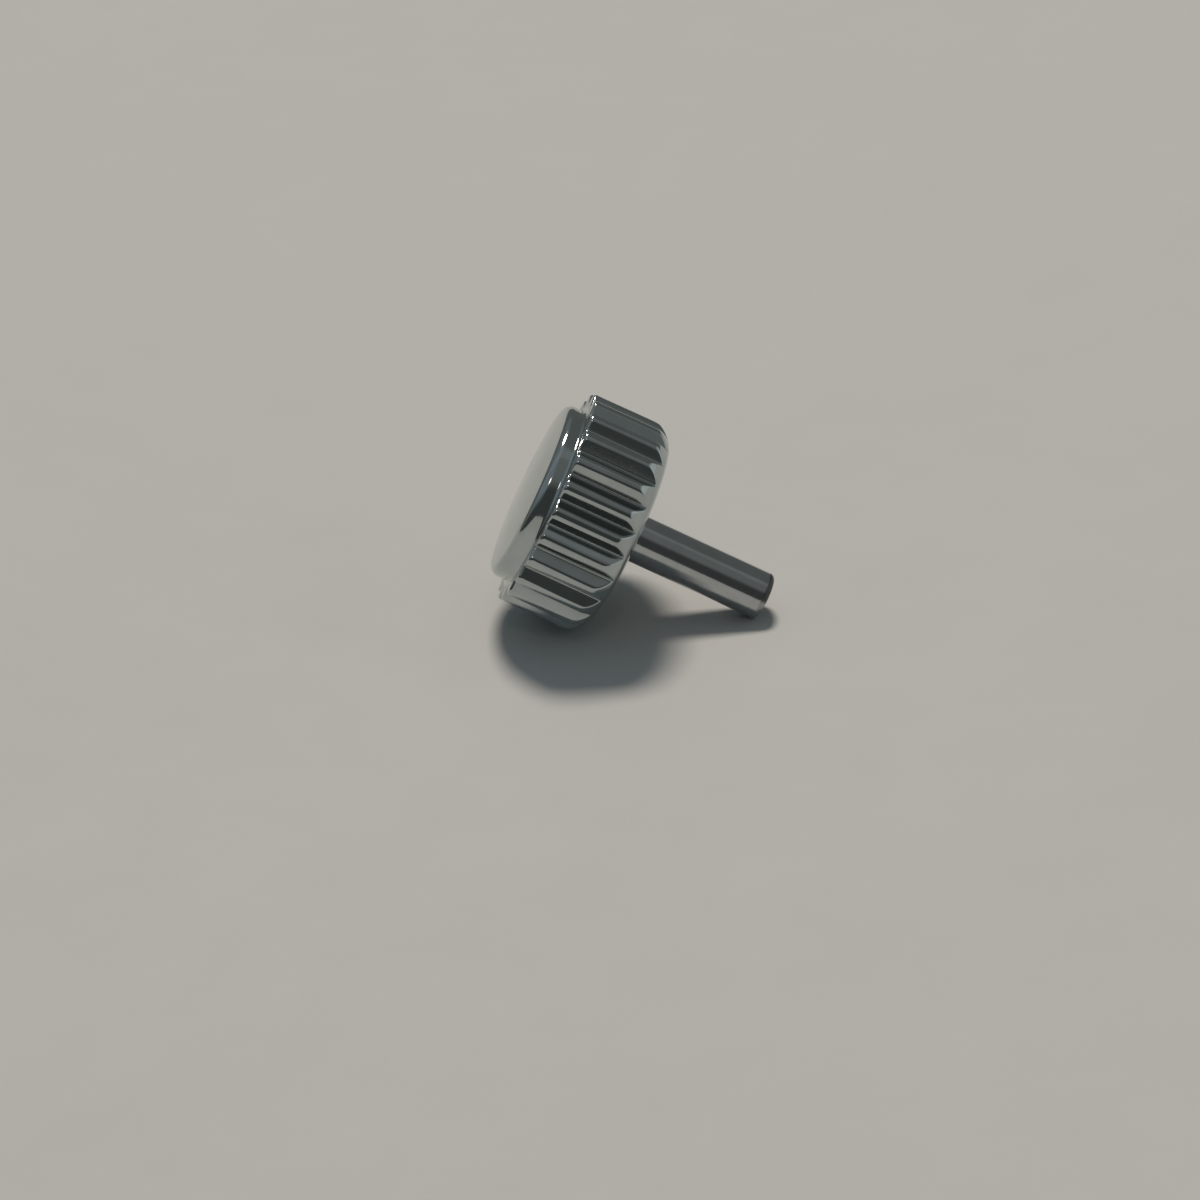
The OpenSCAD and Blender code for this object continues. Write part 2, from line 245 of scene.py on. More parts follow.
class Quantity:
    """A number that a node gives. Arithmetic on it adds Math nodes to its tree."""

    def __init__(self, nodes, socket):
        self.nodes = nodes
        self.socket = socket

    def math(self, operation, *others):
        return self.nodes.node("ShaderNodeMath", {"operation": operation}, dict(enumerate((self, *others))))

    def __add__(self, other):
        return self.math("ADD", other)

    __radd__ = __add__

    def __sub__(self, other):
        return self.math("SUBTRACT", other)

    def __rsub__(self, other):
        return self * -1 + other

    def __mul__(self, other):
        return self.math("MULTIPLY", other)

    __rmul__ = __mul__

    def __truediv__(self, other):
        return self.math("DIVIDE", other)

    def between(self, low, high):
        """0 below low, 1 above high, and smooth in between."""
        return self.nodes.node("ShaderNodeMapRange", {"interpolation_type": "SMOOTHSTEP"},
                               {"Value": self, "From Min": low, "From Max": high})


class Nodes:
    """Adds nodes to a tree. A setting is given by its name, a socket by its name or number."""

    def __init__(self, tree):
        self.tree = tree

    def node(self, kind, settings={}, sockets={}, out=0):
        made = self.tree.nodes.new(kind)
        for name, value in settings.items():
            setattr(made, name, value)
        for name, value in sockets.items():
            if isinstance(value, Quantity):
                self.tree.links.new(value.socket, made.inputs[name])
            else:
                made.inputs[name].default_value = value
        return Quantity(self, made.outputs[out])


class Finish(Nodes):
    """A material whose patterns read the crown's own millimetres: x and y across, z along its axis."""

    def __init__(self, name):
        self.material = bpy.data.materials.new(name)
        self.material.use_nodes = True
        super().__init__(self.material.node_tree)
        self.tree.nodes.clear()
        upright = LYING.inverted()
        seen = self.node("ShaderNodeTexCoord", out="Object")
        turned = self.node("ShaderNodeMapping", {}, {
            "Vector": seen, "Rotation": upright.to_euler(), "Location": upright.translation})
        self.place = self.scaled(turned, 1 / MM)
        split = self.node("ShaderNodeSeparateXYZ", {}, {"Vector": self.place})
        self.x, self.y, self.z = (Quantity(self, split.socket.node.outputs[i]) for i in range(3))
        self.radius = (self.x * self.x + self.y * self.y).math("SQRT")

    def scaled(self, vector, scale):
        return self.node("ShaderNodeVectorMath", {"operation": "SCALE"}, {"Vector": vector, "Scale": scale})

    def noise(self, vector, scale, detail=2.0, roughness=0.5):
        return self.node("ShaderNodeTexNoise", {}, {
            "Vector": vector, "Scale": scale, "Detail": detail, "Roughness": roughness})

    def rings(self, fineness):
        """Turning marks: noise that changes with radius and height only."""
        lathe = self.node("ShaderNodeCombineXYZ", {}, {"X": self.radius * fineness, "Y": self.z * fineness})
        return self.noise(lathe, 1.0, 3.0)

    def blend(self, share, first, second):
        """A colour between the first, which a blend may give, and the second."""
        first = first if isinstance(first, Quantity) else (*first, 1)
        inputs = {0: share, 6: first, 7: (*second, 1)}
        return self.node("ShaderNodeMix", {"data_type": "RGBA"}, inputs, out=2)

    def relief(self, height, depth, over=None):
        sockets = {"Height": height, "Distance": depth * MM}
        if over is not None:
            sockets["Normal"] = over
        return self.node("ShaderNodeBump", {}, sockets)

    def surface(self, **sockets):
        inputs = {title.replace("_", " "): value for title, value in sockets.items()}
        shader = self.node("ShaderNodeBsdfPrincipled", {}, inputs)
        output = self.tree.nodes.new("ShaderNodeOutputMaterial")
        self.tree.links.new(shader.socket, output.inputs["Surface"])
        return self.material


def polished_steel():
    """Buffed by hand: a mirror with a faint wave, hairlines round the axis and a soft film of handling.
    The buff doesn't reach into the flutes, which stay duller."""
    clean = (0.505, 0.55, 0.545)
    dulled = (0.41, 0.44, 0.432)
    look = Finish("polished_steel")
    film = look.noise(look.place, 0.9, 4.0, 0.6).between(0.35, 0.7)
    hairlines = look.rings(8)
    below_crests = 1 - look.radius.between(3.12, 3.36)
    in_flute = below_crests * look.radius.between(2.98, 3.04)
    speck = look.noise(look.place, 9.0, 2.0).between(0.62, 0.75)
    wave = look.relief(look.noise(look.place, 0.8, 1.0), 0.004)
    return look.surface(
        Base_Color=look.blend(film * 0.5 + in_flute * 0.35 + speck * 0.1, clean, dulled),
        Metallic=1.0,
        Roughness=0.055 + film * 0.04 + hairlines * 0.03 + in_flute * 0.15 + speck * 0.05,
        Normal=look.relief(hairlines, 0.0002, wave),
    )


def growing_tree(name, **inputs):
    """A geometry tree whose inputs carry these names and socket types. Returns its nodes and inputs."""
    tree = bpy.data.node_groups.new(name, "GeometryNodeTree")
    tree.interface.new_socket("Geometry", in_out="INPUT", socket_type="NodeSocketGeometry")
    tree.interface.new_socket("Geometry", in_out="OUTPUT", socket_type="NodeSocketGeometry")
    for title, kind in inputs.items():
        tree.interface.new_socket(title.replace("_", " "), in_out="INPUT", socket_type="NodeSocket" + kind)
    nodes = Nodes(tree)
    entry = tree.nodes.new("NodeGroupInput")
    return nodes, {s.name: Quantity(nodes, s) for s in entry.outputs if s.name}


def finish_tree(nodes, geometry, material):
    """Ends a tree: what it made becomes real, smooth and one material."""
    real = nodes.node("GeometryNodeRealizeInstances", {}, {"Geometry": geometry})
    smooth = nodes.node("GeometryNodeSetShadeSmooth", {}, {"Geometry": real})
    dressed = nodes.node("GeometryNodeSetMaterial", {}, {"Geometry": smooth, "Material": material})
    output = nodes.tree.nodes.new("NodeGroupOutput")
    nodes.tree.links.new(dressed.socket, output.inputs["Geometry"])


def grown(name, mesh, nodes, **values):
    """Runs a geometry tree on a mesh and lays the plain result down."""
    seed = bpy.data.objects.new(name + "_seed", mesh)
    bpy.context.scene.collection.objects.link(seed)
    modifier = seed.modifiers.new("grow", "NODES")
    modifier.node_group = nodes.tree
    for item in nodes.tree.interface.items_tree:
        title = item.name.replace(" ", "_")
        if item.in_out == "INPUT" and title in values:
            modifier[item.identifier] = values[title]
    made = bpy.data.meshes.new_from_object(seed.evaluated_get(bpy.context.evaluated_depsgraph_get()))
    bpy.data.objects.remove(seed)
    return laid_down(name, made)


def laid_down(name, mesh, same_point=1e-5):
    """A piece from an upright mesh in millimetres: closed, facing outwards, smooth and in its place."""
    shell = bmesh.new()
    shell.from_mesh(mesh)
    bmesh.ops.remove_doubles(shell, verts=shell.verts, dist=same_point)
    bmesh.ops.recalc_face_normals(shell, faces=shell.faces)
    shell.to_mesh(mesh)
    shell.free()
    mesh.transform(LYING @ Matrix.Scale(MM, 4))
    mesh.shade_smooth()
    mesh.name = name
    piece = bpy.data.objects.new(name, mesh)
    bpy.context.scene.collection.objects.link(piece)
    return piece


def fitted(piece, node, body):
    """Puts a piece on its body in a CAD node's place, and hides the node."""
    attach(piece, body)
    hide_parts(node)


def grid_faces(columns, rows, closed=False):
    """Faces of a grid of points kept column by column, joined to itself where it is closed."""
    across = columns if closed else columns - 1
    faces = []
    for i in range(across):
        left = i * rows
        right = (i + 1) % columns * rows
        faces += [(left + j, right + j, right + j + 1, left + j + 1) for j in range(rows - 1)]
    return faces


SEAM_WELD = 2e-4
wedge_mesh = bpy.data.meshes.new("wedge")
wedge_mesh.from_pydata(wedge.reshape(-1, 3).tolist(), [], grid_faces(*wedge.shape[:2]))
nodes, given = growing_tree("flutes_round_the_rim", Count="Int", Weld="Float", Material="Material")
points = nodes.node("GeometryNodeMeshLine", {}, {"Count": given["Count"], "Offset": (0, 0, 0)})
index = nodes.node("GeometryNodeInputIndex")
# The first flute is the lowest, and the cap rests on the crests beside it
bearing = index * (2 * math.pi) / given["Count"]
turn = nodes.node("FunctionNodeAxisAngleToRotation", {}, {"Axis": (0, 0, 1), "Angle": bearing})
copies = nodes.node("GeometryNodeInstanceOnPoints", {}, {
    "Points": points, "Instance": given["Geometry"], "Rotation": turn})
real = nodes.node("GeometryNodeRealizeInstances", {}, {"Geometry": copies})
welded = nodes.node("GeometryNodeMergeByDistance", {}, {"Geometry": real, "Distance": given["Weld"]})
finish_tree(nodes, welded, given["Material"])
cap = grown("cap", wedge_mesh, nodes, Count=FLUTE_COUNT, Weld=SEAM_WELD, Material=polished_steel())
fitted(cap, "crown_cap", "crown")

# Core: a steel bush pressed into the cap. Its skirt is threaded for the case tube, and its hub
# has a hexagonal socket that turns the post.
THREAD_RADIUS = 2.2
TUBE_PITCH = 0.35
TUBE_THREAD_DEPTH = 0.19
TUBE_THREAD_END = -1.2
PAST_TUBE_THREAD = 0.04
MOUTH = -0.1
TUBE_FLOOR = -1.6
HUB_RADIUS = 1.55
GROOVE_RADIUS = 1.394
GROOVE_START = -0.685
GROOVE_END = -0.985
RING_RADIUS = 1.295
RING_SEAT = -0.5
SOCKET_TOP = -1.35
HEX_HALF_WIDTH = 1.0
CORE_SIDES = 192
# How far edges and inner corners are rounded
CREASE = 0.01
EDGE = 0.02
TOP_EDGE = 0.04
# A threaded wall starts this far below its lead-in
BELOW_LEAD_IN = 0.02
# The core's section starts and ends on its inner face, this far in from the outside
SEAM_INSET = 0.3


def hexagon(bearing):
    """Radius of a hexagon of unit half width at a bearing, with a corner at zero."""
    return 1 / np.cos((bearing % (math.pi / 3)) - math.pi / 6)


def turned(name, section, around, threaded=None, hexagonal=None, closed=True, run_out=0.06, slack=1e-4):
    """A mesh turned round the axis from a section. The wall of one radius may be threaded between two
    heights, with a run-out at both ends, and a band of heights and radii may be hexagonal."""
    section = list(section) + ([section[0]] if closed else [])
    bearings = np.linspace(0, 2 * math.pi, around, endpoint=False)
    r, z = np.array(section, float).T
    grid_r = np.repeat(r[None], around, 0)
    if hexagonal:
        low, high, least, most = hexagonal
        flat = (z >= low) & (z <= high) & (r >= least) & (r <= most)
        grid_r[:, flat] *= hexagon(bearings)[:, None]
    grid = np.stack([grid_r * np.cos(bearings)[:, None], grid_r * np.sin(bearings)[:, None],
                     np.repeat(z[None], around, 0)], -1)
    mesh = bpy.data.meshes.new(name)
    mesh.from_pydata(grid.reshape(-1, 3).tolist(), [], grid_faces(around, len(section), closed=True))
    share = mesh.attributes.new("threaded", "FLOAT", "POINT")
    if threaded:
        low, high, radius = threaded
        cut = np.clip((z - low) / run_out, 0, 1) * np.clip((high - z) / run_out, 0, 1)
        cut[np.abs(r - radius) > slack] = 0
        share.data.foreach_set("value", np.repeat(cut[None], around, 0).ravel().astype(np.float32))
    return mesh


def wall(radius, start, end, pitch, rows=12):
    """Corners down a threaded wall, close enough together to hold the thread's flanks."""
    count = round(abs(end - start) / pitch * rows)
    return [(radius, z, 0) for z in np.linspace(start, end, count + 1)]


def thread_tree(steepness=1.3, crest_flat=0.2):
    """Cuts a right-handed thread outwards from a bore, wherever its points are marked as threaded."""
    nodes, given = growing_tree("thread", Pitch="Float", Depth="Float", Material="Material")
    place = nodes.node("GeometryNodeInputPosition")
    split = nodes.node("ShaderNodeSeparateXYZ", {}, {"Vector": place})
    x, y, z = (Quantity(nodes, split.socket.node.outputs[i]) for i in range(3))
    turn = y.math("ARCTAN2", x) / (2 * math.pi)
    flank = ((z / given["Pitch"] - turn).math("FRACT") * 2 - 1).math("ABSOLUTE")
    flat_topped = (flank * steepness - crest_flat).math("MAXIMUM", 0.0).math("MINIMUM", 1.0)
    marked = nodes.node("GeometryNodeInputNamedAttribute", {"data_type": "FLOAT"}, {"Name": "threaded"})
    out = flat_topped * marked * given["Depth"] / (x * x + y * y).math("SQRT")
    shift = nodes.node("ShaderNodeCombineXYZ", {}, {"X": x * out, "Y": y * out})
    cut = nodes.node("GeometryNodeSetPosition", {}, {"Geometry": given["Geometry"], "Offset": shift})
    finish_tree(nodes, cut, given["Material"])
    return nodes


def turned_steel(name, bright, dull, roughness, fineness=10):
    """Fine turned steel: even rings from the tool, a dull film and a few brighter scuffs."""
    look = Finish(name)
    marks = look.rings(fineness)
    film = look.noise(look.place, 1.6, 4.0, 0.6).between(0.3, 0.75)
    scuff = look.noise(look.place, 5.0, 3.0).between(0.6, 0.72)
    return look.surface(
        Base_Color=look.blend(film * 0.6 + marks * 0.3 - scuff * 0.3, bright, dull),
        Metallic=1.0,
        Roughness=roughness + marks * 0.12 + film * 0.08 - scuff * 0.05,
        Normal=look.relief(marks, 0.0015),
    )


core_seam = (CORE_RADIUS - SEAM_INSET, CORE_TOP, 0)
core_section = rounded([
    core_seam,
    (CORE_RADIUS, CORE_TOP, TOP_EDGE),
    (CORE_RADIUS, MOUTH, EDGE),
    (THREAD_RADIUS + LEAD_IN, MOUTH, LEAD_IN_EDGE),
    (THREAD_RADIUS, MOUTH - LEAD_IN, CREASE),
    *wall(THREAD_RADIUS, MOUTH - LEAD_IN - BELOW_LEAD_IN, TUBE_THREAD_END - PAST_TUBE_THREAD, TUBE_PITCH),
    (THREAD_RADIUS, TUBE_FLOOR, CORNER),
    (HUB_RADIUS, TUBE_FLOOR, CORNER),
    (HUB_RADIUS, GROOVE_END, CREASE),
    (GROOVE_RADIUS, GROOVE_END, EDGE),
    (GROOVE_RADIUS, GROOVE_START, EDGE),
    (HUB_RADIUS, GROOVE_START, CREASE),
    (HUB_RADIUS, MOUTH - LEAD_IN, EDGE),
    (HUB_RADIUS - LEAD_IN, MOUTH, EDGE),
    (RING_RADIUS, MOUTH, CREASE),
    (RING_RADIUS, RING_SEAT, CREASE),
    (HEX_HALF_WIDTH, RING_SEAT, CREASE),
    (HEX_HALF_WIDTH, SOCKET_TOP, CREASE),
    (CHAMBER_RADIUS, SOCKET_TOP, CREASE),
    (CHAMBER_RADIUS, CORE_TOP, EDGE),
    core_seam,
])[:-1]
tube_thread = (TUBE_THREAD_END, MOUTH - LEAD_IN, THREAD_RADIUS)
socket = (SOCKET_TOP, RING_SEAT, HEX_HALF_WIDTH - CREASE / 10, HEX_HALF_WIDTH + CREASE * 1.1)
core_mesh = turned("core", core_section, CORE_SIDES, tube_thread, socket)
core_finish = turned_steel("turned_steel", (0.6, 0.59, 0.57), (0.42, 0.41, 0.4), 0.2)
core = grown("core", core_mesh, thread_tree(), Pitch=TUBE_PITCH, Depth=TUBE_THREAD_DEPTH,
             Material=core_finish)
fitted(core, "threaded_core", "crown")

# Tube gasket and its washer: a flat black rubber ring, laid on the floor between the core's skirt and
# hub, which the case tube presses on. A thin stamped steel washer saves it from turning with the tube.
# Radius of the bore and of the outside, then the height of both faces
GASKET = (1.57, 2.18, -1.6, -1.25)
GASKET_EDGE = 0.06
GASKET_WASHER = (1.59, 2.16, -1.25, -1.17)


def plain(name, section, material, around=144):
    """A turned piece with no thread."""
    mesh = turned(name, section, around)
    mesh.materials.append(material)
    return laid_down(name, mesh)


def washer_section(inner, outer, low, high, edge):
    """Section of a flat ring with broken edges."""
    seam = ((inner + outer) / 2, low, 0)
    corners = [(outer, low), (outer, high), (inner, high), (inner, low)]
    return rounded([seam] + [(*corner, edge) for corner in corners] + [seam])[:-1]


def rubber(name, shade, roughness, grease=0.0):
    """Moulded black rubber: fine grain, a pale bloom in patches and, where it is greased, a wet film."""
    bloomed = (shade * 2.4, shade * 2.4, shade * 2.3)
    look = Finish(name)
    grain = look.noise(look.place, 22.0, 3.0)
    bloom = look.noise(look.place, 2.5, 4.0).between(0.45, 0.8)
    return look.surface(
        Base_Color=look.blend(bloom * 0.7 + grain * 0.2, (shade, shade, shade), bloomed),
        Roughness=roughness + bloom * 0.15 - grain * 0.1,
        Coat_Weight=bloom * -grease + grease,
        Coat_Roughness=0.12,
        Normal=look.relief(grain, 0.003),
    )


stamped = turned_steel("stamped_steel", (0.66, 0.65, 0.63), (0.5, 0.49, 0.47), 0.26, 6)
gasket = plain("gasket", washer_section(*GASKET, GASKET_EDGE), rubber("gasket_rubber", 0.02, 0.55))
fitted(gasket, "tube_gasket", "crown")
cover = plain("gasket_cover", washer_section(*GASKET_WASHER, EDGE), stamped)
fitted(cover, "gasket_washer", "crown")

# O-ring: moulded black rubber, greased. It is stretched over the hub into its groove and seals in
# the bore of the case tube.
O_RING_CENTRE = (1.524, -0.835)
O_RING_WIRE = 0.13
O_RING_SIDES = 24
o_ring_section = arc(O_RING_CENTRE, O_RING_WIRE, 0, 360 - 360 / O_RING_SIDES, O_RING_SIDES - 1)
o_ring = plain("o_ring", o_ring_section, rubber("greased_rubber", 0.015, 0.35, 0.6))
fitted(o_ring, "hub_o_ring", "crown")

# Spring: drawn steel wire, coiled with its end turns closed. It stands between the bottom of the
# cap's pocket and the thrust washer. It shortens as the post goes in, but is made here at one length.
WIRE_RADIUS = 0.06
COIL_RADIUS = 0.88
SPRING_TURNS = 4
END_TURNS = 0.75
END_PITCH = 0.155
SPRING_FOOT = -2.85
SPRING_TOP = -1.32
SPRING_STEPS = 240
WIRE_SIDES = 16
spring_length = SPRING_TOP - SPRING_FOOT
coil_rise = spring_length - 2 * WIRE_RADIUS
nodes, given = growing_tree("spring", Turns="Float", Steps="Int", Coil_radius="Float",
                            Wire_radius="Float", Rise="Float", End_turns="Float", End_pitch="Float",
                            Material="Material")
line = nodes.node("GeometryNodeMeshLine", {}, {"Count": given["Steps"] + 1, "Offset": (0, 0, 0)})
turn = nodes.node("GeometryNodeInputIndex") / given["Steps"] * given["Turns"]
closed_rise = given["End turns"] * given["End pitch"]
open_turns = given["Turns"] - given["End turns"] * 2
open_pitch = (given["Rise"] - closed_rise * 2) / open_turns
first = turn.math("MINIMUM", given["End turns"])
last = (turn - given["Turns"] + given["End turns"]).math("MAXIMUM", 0.0)
height = (first + last) * given["End pitch"] + (turn - first - last) * open_pitch
bearing = turn * (2 * math.pi)
on_coil = nodes.node("ShaderNodeCombineXYZ", {}, {
    "X": bearing.math("COSINE") * given["Coil radius"],
    "Y": bearing.math("SINE") * given["Coil radius"],
    "Z": height + SPRING_FOOT + given["Wire radius"]})
helix = nodes.node("GeometryNodeSetPosition", {}, {"Geometry": line, "Position": on_coil})
path = nodes.node("GeometryNodeMeshToCurve", {}, {"Mesh": helix})
wire = nodes.node("GeometryNodeCurvePrimitiveCircle", {}, {
    "Resolution": WIRE_SIDES, "Radius": given["Wire radius"]})
coil = nodes.node("GeometryNodeCurveToMesh", {}, {
    "Curve": path, "Profile Curve": wire, "Fill Caps": True})
finish_tree(nodes, coil, given["Material"])


def drawn_wire():
    """Spring wire: grey from heat treatment, with a fine grain and a brown tint in places."""
    look = Finish("drawn_wire")
    tint = look.noise(look.place, 3.0, 3.0).between(0.4, 0.7)
    grain = look.noise(look.place, 30.0, 2.0)
    return look.surface(
        Base_Color=look.blend(tint * 0.8, (0.5, 0.5, 0.52), (0.38, 0.33, 0.29)),
        Metallic=1.0,
        Roughness=0.24 + grain * 0.12,
        Normal=look.relief(grain, 0.001),
    )


spring = grown("spring", bpy.data.meshes.new("spring_seed"), nodes, Turns=float(SPRING_TURNS),
               Steps=SPRING_STEPS, Coil_radius=COIL_RADIUS, Wire_radius=WIRE_RADIUS, Rise=coil_rise,
               End_turns=END_TURNS, End_pitch=END_PITCH, Material=drawn_wire())
fitted(spring, "clutch_spring", "crown")
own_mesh(spring)

# Thrust washer: a stamped brass ring, worn satin. It slips over the post's pilot, between the spring
# and the clutch, so that the spring can turn on the post.
THRUST_WASHER = (0.62, 0.96, -1.31, -1.22)
THRUST_SIDES = 96


def satin_brass():
    """Brass worn satin: turning marks, and brown tarnish that gathers in patches."""
    look = Finish("satin_brass")
    tarnish = look.noise(look.place, 3.5, 4.0).between(0.4, 0.75)
    marks = look.rings(12)
    return look.surface(
        Base_Color=look.blend(tarnish * 0.7 + marks * 0.2, (0.75, 0.58, 0.3), (0.42, 0.29, 0.13)),
        Metallic=1.0,
        Roughness=0.22 + marks * 0.12 + tarnish * 0.15,
        Normal=look.relief(marks, 0.001),
    )


thrust = plain("thrust_ring", washer_section(*THRUST_WASHER, EDGE), satin_brass(), THRUST_SIDES)
fitted(thrust, "thrust_washer", "post")

# Post: ground and polished steel, in one piece with the hexagonal clutch and the pilot for the
# spring. Its rounded tip is drilled and tapped for the movement's stem.
POST_RADIUS = 0.75
POST_REACH = 4.7
TIP_ROUND = 0.2
TAP_RADIUS = 0.36
TAP_END = 1.3
STEM_PITCH = 0.225
STEM_THREAD_DEPTH = 0.09
STEM_THREAD_END = 1.6
PAST_STEM_THREAD = 0.1
CLUTCH_HALF_WIDTH = 0.98
CLUTCH_TOP = -1.21
CLUTCH_FOOT = -0.51
PILOT_RADIUS = 0.6
PILOT_END = -1.61
PILOT_EDGE = 0.05
POST_SIDES = 96
POST_ROWS = (0.5, 2.0, 3.5)
BEFORE_TIP = 0.05
tip_start = POST_REACH - TIP_ROUND


def ground_steel():
    """Ground and polished: a mirror with faint rings and a film. The tip is as the lathe left it, and as in
    the photo its rounding is dark above and light below: painted shade darkens its upper side, as the
    camera sees it."""
    clean = (0.54, 0.555, 0.56)
    dulled = (0.42, 0.437, 0.44)
    # Painted shade for the upper side of the tip's rounding, as the camera sees it
    painted_shade = (0.09, 0.096, 0.094)
    look = Finish("ground_steel")
    lines = look.rings(9)
    film = look.noise(look.place, 1.3, 4.0, 0.6).between(0.35, 0.7)
    at_tip = look.z.between(tip_start - 0.03, tip_start + 0.03)
    # Height over the middle of the post, as the camera sees it, which sets where shade is painted on the
    # tip
    seen_height = look.y * 0.48 - look.x * 0.87
    steel = look.blend(film * 0.5 + lines * 0.15 + at_tip * 0.9, clean, dulled)
    return look.surface(
        # Painted shade: the tip's rounding is darkened on its upper side as the camera sees it
        Base_Color=look.blend(at_tip * seen_height.between(-0.24, -0.1), steel, painted_shade),
        Metallic=1.0,
        Roughness=0.07 + lines * 0.05 + film * 0.04 + at_tip * 0.3,
        Normal=look.relief(lines, 0.0006, look.relief(look.noise(look.place, 0.9, 1.0), 0.003)),
    )


post_section = rounded([
    (0, PILOT_END, 0),
    (PILOT_RADIUS, PILOT_END, PILOT_EDGE),
    (PILOT_RADIUS, CLUTCH_TOP, CREASE),
    (CLUTCH_HALF_WIDTH, CLUTCH_TOP, EDGE),
    (CLUTCH_HALF_WIDTH, CLUTCH_FOOT, EDGE),
    (POST_RADIUS, CLUTCH_FOOT, CREASE),
    *((POST_RADIUS, z, 0) for z in (*POST_ROWS, tip_start - BEFORE_TIP)),
    *((r, z, 0) for r, z in arc((POST_RADIUS - TIP_ROUND, tip_start), TIP_ROUND, 0, 90, 10)),
    (TAP_RADIUS + LEAD_IN, POST_REACH, CREASE),
    (TAP_RADIUS, POST_REACH - LEAD_IN, CREASE),
    *wall(TAP_RADIUS, POST_REACH - LEAD_IN - BELOW_LEAD_IN, STEM_THREAD_END - PAST_STEM_THREAD, STEM_PITCH),
    (TAP_RADIUS, TAP_END, EDGE),
    (0, TAP_END, 0),
])
stem_thread_cut = (STEM_THREAD_END, POST_REACH - LEAD_IN, TAP_RADIUS)
clutch = (CLUTCH_TOP, CLUTCH_FOOT, CLUTCH_HALF_WIDTH - EDGE * 1.5, CLUTCH_HALF_WIDTH + CREASE)
post_mesh = turned("post", post_section, POST_SIDES, stem_thread_cut, clutch, closed=False)
post = grown("post", post_mesh, thread_tree(), Pitch=STEM_PITCH, Depth=STEM_THREAD_DEPTH,
             Material=ground_steel())
fitted(post, "stem_post", "post")

# Retaining ring: steel, pressed into the hub's mouth after the spring and the post. The clutch
# rests on its inner face, and its bore guides the post.
RING_BORE = 0.77
ring_seam = ((RING_BORE + RING_RADIUS) / 2, RING_SEAT, 0)
ring_section = rounded([
    ring_seam,
    (RING_RADIUS, RING_SEAT, EDGE),
    (RING_RADIUS, MOUTH, CORNER),
    (RING_BORE + LEAD_IN, MOUTH, LEAD_IN_EDGE),
    (RING_BORE, MOUTH - LEAD_IN, LEAD_IN_EDGE),
    (RING_BORE, RING_SEAT, EDGE),
    ring_seam,
])[:-1]
ring = plain("ring", ring_section, stamped)
fitted(ring, "retaining_ring", "crown")

# Table: a pale grey satin sheet, faintly mottled, that the crown lies on. Its own grey is a little
# cold, so that it looks warm grey under the warm lamp and cold in the shadow, as in the photo.
TABLE_SIZE = 1.2
TABLE_COLOUR = (0.476, 0.504, 0.508)
MOTTLE_COLOUR = (0.432, 0.465, 0.477)
table_mesh = bpy.data.meshes.new("table")
corners = [(x * TABLE_SIZE / 2, y * TABLE_SIZE / 2, 0) for x, y in ((-1, -1), (1, -1), (1, 1), (-1, 1))]
table_mesh.from_pydata(corners, [], [(0, 1, 2, 3)])
look = Finish("table")
cloudy = look.noise(look.place, 0.12, 3.0)
mottle = look.noise(look.place, 0.45, 4.0)
table_mesh.materials.append(look.surface(
    Base_Color=look.blend((cloudy + mottle) * 0.5, TABLE_COLOUR, MOTTLE_COLOUR),
    Roughness=0.62,
    Normal=look.relief(look.noise(look.place, 6.0, 3.0), 0.004),
))
table = bpy.data.objects.new("table", table_mesh)
bpy.context.scene.collection.objects.link(table)

# Camera: a long lens, 29 degrees above the table, that sees the crown from the side and a little of
# its domed face. It is rolled until the axis runs down to the right at the angle measured in the photo.
ELEVATION = math.radians(29)
# How far the post points away from the camera, as a part of its length
POST_AWAY = 0.13
AXIS_ANGLE = math.radians(-24.7)
LENS = 160
FRAME_WIDTH = 36.84 * MM
# The middle of the back face in the photo, in pixels
BACK_FACE_SEEN = (628.2, 534.2)
PHOTO_SIDE = 1200
along_table = math.hypot(AXIS.x, AXIS.y)
azimuth = math.asin((-AXIS.z * math.sin(ELEVATION) - POST_AWAY) / (along_table * math.cos(ELEVATION)))
towards = Vector((math.sin(azimuth) * math.cos(ELEVATION), -math.cos(azimuth) * math.cos(ELEVATION),
                  math.sin(ELEVATION)))
right = Vector((math.cos(azimuth), math.sin(azimuth), 0))
up = towards.cross(right)
roll = math.atan2(AXIS.dot(up), AXIS.dot(right)) - AXIS_ANGLE
right, up = right * math.cos(roll) + up * math.sin(roll), up * math.cos(roll) - right * math.sin(roll)
camera = bpy.data.objects.new("camera", bpy.data.cameras.new("camera"))
camera.data.lens = LENS
distance = FRAME_WIDTH / 2 / (camera.data.sensor_width / 2 / LENS)
offset_x = (BACK_FACE_SEEN[0] / PHOTO_SIDE - 0.5) * FRAME_WIDTH
offset_y = (0.5 - BACK_FACE_SEEN[1] / PHOTO_SIDE) * FRAME_WIDTH
eye = BACK_FACE - right * offset_x - up * offset_y + towards * distance
camera.matrix_world = Matrix.Translation(eye) @ Matrix((right, up, towards)).transposed().to_4x4()
camera.data.clip_start = 0.01
camera.data.clip_end = 5
bpy.context.scene.collection.objects.link(camera)
bpy.context.scene.camera = camera

# Light: a soft warm lamp above and a little behind, and a small weak one over the camera's shoulder.
# The room is dim on the camera's side and lighter overhead. A window stands beyond the post, and a
# cooler light comes from high on the side of the domed face.
LAMP_COLOUR = (1.0, 0.861, 0.747)
LAMP_DISTANCE = 0.9
LAMP_FROM_ZENITH = math.radians(21.6)
LAMP_ANGLE = math.radians(15)
LAMP_POWER = 6.2
SPOT_WAY = Vector((0.112, -0.657, 0.745))
SPOT_ANGLE = math.radians(8)
SPOT_POWER = 0.2
# What each part of the room adds to the strength of the dim room
DIM = 0.054
CEILING = 0.113
BEAM = 0.048
WALL_BEHIND = -0.042
WINDOW = 0.37
FILL = 0.06
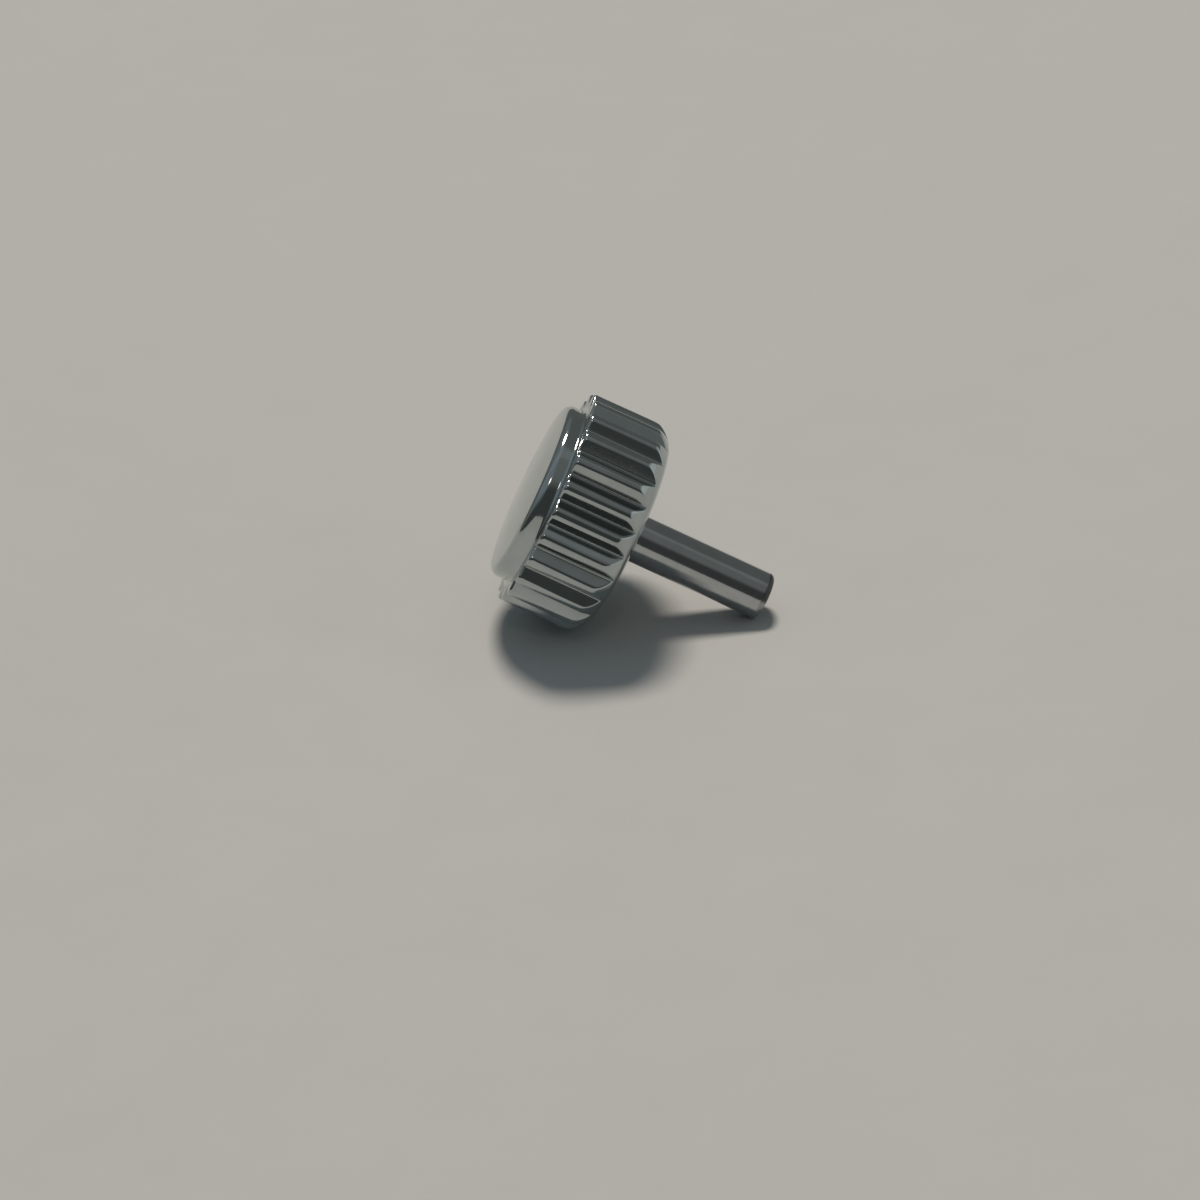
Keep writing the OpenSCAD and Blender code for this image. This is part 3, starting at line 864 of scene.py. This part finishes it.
# Where each starts and is full, in degrees over the horizon or as a part of the way to the side
CEILING_RISE = (30, 49)
BEAM_RISE = (76, 84)
BEAM_END = (92, 98)
WALL_RISE = (94, 104)
WINDOW_SIDE = (0.62, 0.85)
FILL_SIDE = (0.05, 0.4)
FILL_RISE = (0.3, 0.6)
ROOM_COLOUR = (0.93, 1.0, 0.98)
COOL_COLOUR = (0.88, 1.0, 1.1)
away = Vector((-towards.x, -towards.y, 0)).normalized()
lamp_way = Vector((0, 0, 1)) * math.cos(LAMP_FROM_ZENITH) + away * math.sin(LAMP_FROM_ZENITH)
lamps = [("lamp", lamp_way, LAMP_ANGLE, LAMP_POWER), ("spot", SPOT_WAY, SPOT_ANGLE, SPOT_POWER)]
for name, way, angle, power in lamps:
    lamp = bpy.data.objects.new(name, bpy.data.lights.new(name, "AREA"))
    lamp.data.shape = "DISK"
    lamp.data.size = 2 * LAMP_DISTANCE * math.tan(angle / 2)
    lamp.data.energy = power
    lamp.data.color = LAMP_COLOUR
    facing = way.to_track_quat("Z", "Y").to_matrix().to_4x4()
    lamp.matrix_world = Matrix.Translation(way * LAMP_DISTANCE) @ facing
    bpy.context.scene.collection.objects.link(lamp)
world = bpy.data.worlds.new("room")
world.use_nodes = True
room = Nodes(world.node_tree)
way = room.node("ShaderNodeTexCoord", out="Generated")
split = room.node("ShaderNodeSeparateXYZ", {}, {"Vector": way})
x, y, z = (Quantity(room, split.socket.node.outputs[i]) for i in range(3))
# Height over the horizon in degrees, from the camera's side over the top
height = z.math("ARCTAN2", y * -1) * math.degrees(1)
ceiling = height.between(*CEILING_RISE)
beam = height.between(*BEAM_RISE) * (1 - height.between(*BEAM_END))
wall_behind = height.between(*WALL_RISE)
window = x.between(*WINDOW_SIDE)
# The rim and the post mirror nothing of this side
fill = (z * -AXIS.z - x * AXIS.x).between(*FILL_SIDE) * z.between(*FILL_RISE)
strength = ceiling * CEILING + beam * BEAM + wall_behind * WALL_BEHIND + window * WINDOW + fill * FILL + DIM
tint = room.node("ShaderNodeMix", {"data_type": "RGBA"}, {
    0: fill, 6: (*ROOM_COLOUR, 1), 7: (*COOL_COLOUR, 1)}, out=2)
background = world.node_tree.nodes["Background"]
room.tree.links.new(tint.socket, background.inputs["Color"])
room.tree.links.new(strength.socket, background.inputs["Strength"])
bpy.context.scene.world = world
bpy.context.scene.view_settings.view_transform = "Standard"

bpy.context.view_layer.update()
